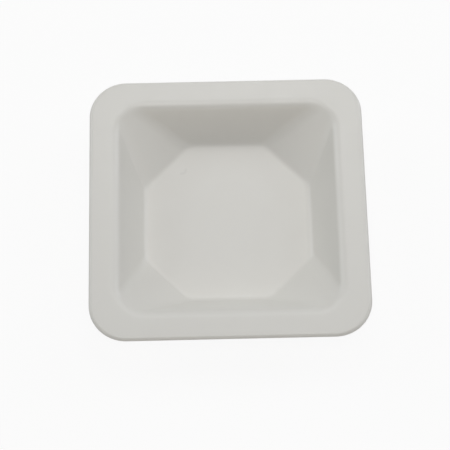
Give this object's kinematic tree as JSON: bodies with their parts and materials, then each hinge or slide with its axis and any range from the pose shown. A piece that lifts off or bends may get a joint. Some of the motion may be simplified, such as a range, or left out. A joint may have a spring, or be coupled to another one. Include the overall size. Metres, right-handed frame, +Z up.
{
  "type": "weighing boat",
  "caption": "Square shallow weighing boat of thin white polystyrene, with a flat rim, four steep walls, four corner facets and an eight-sided floor.",
  "frame": {"origin": "centre of the underside of the floor, on the surface that the boat stands on", "axes": "+Z up out of the mouth; +X and +Y square to the walls, and alike because the boat is square"},
  "size_m": [0.046, 0.046, 0.008],
  "materials": {
    "white_polystyrene": "satin"
  },
  "bodies": {
    "root": {"weighing_boat": "white_polystyrene"}
  },
  "joints": []
}
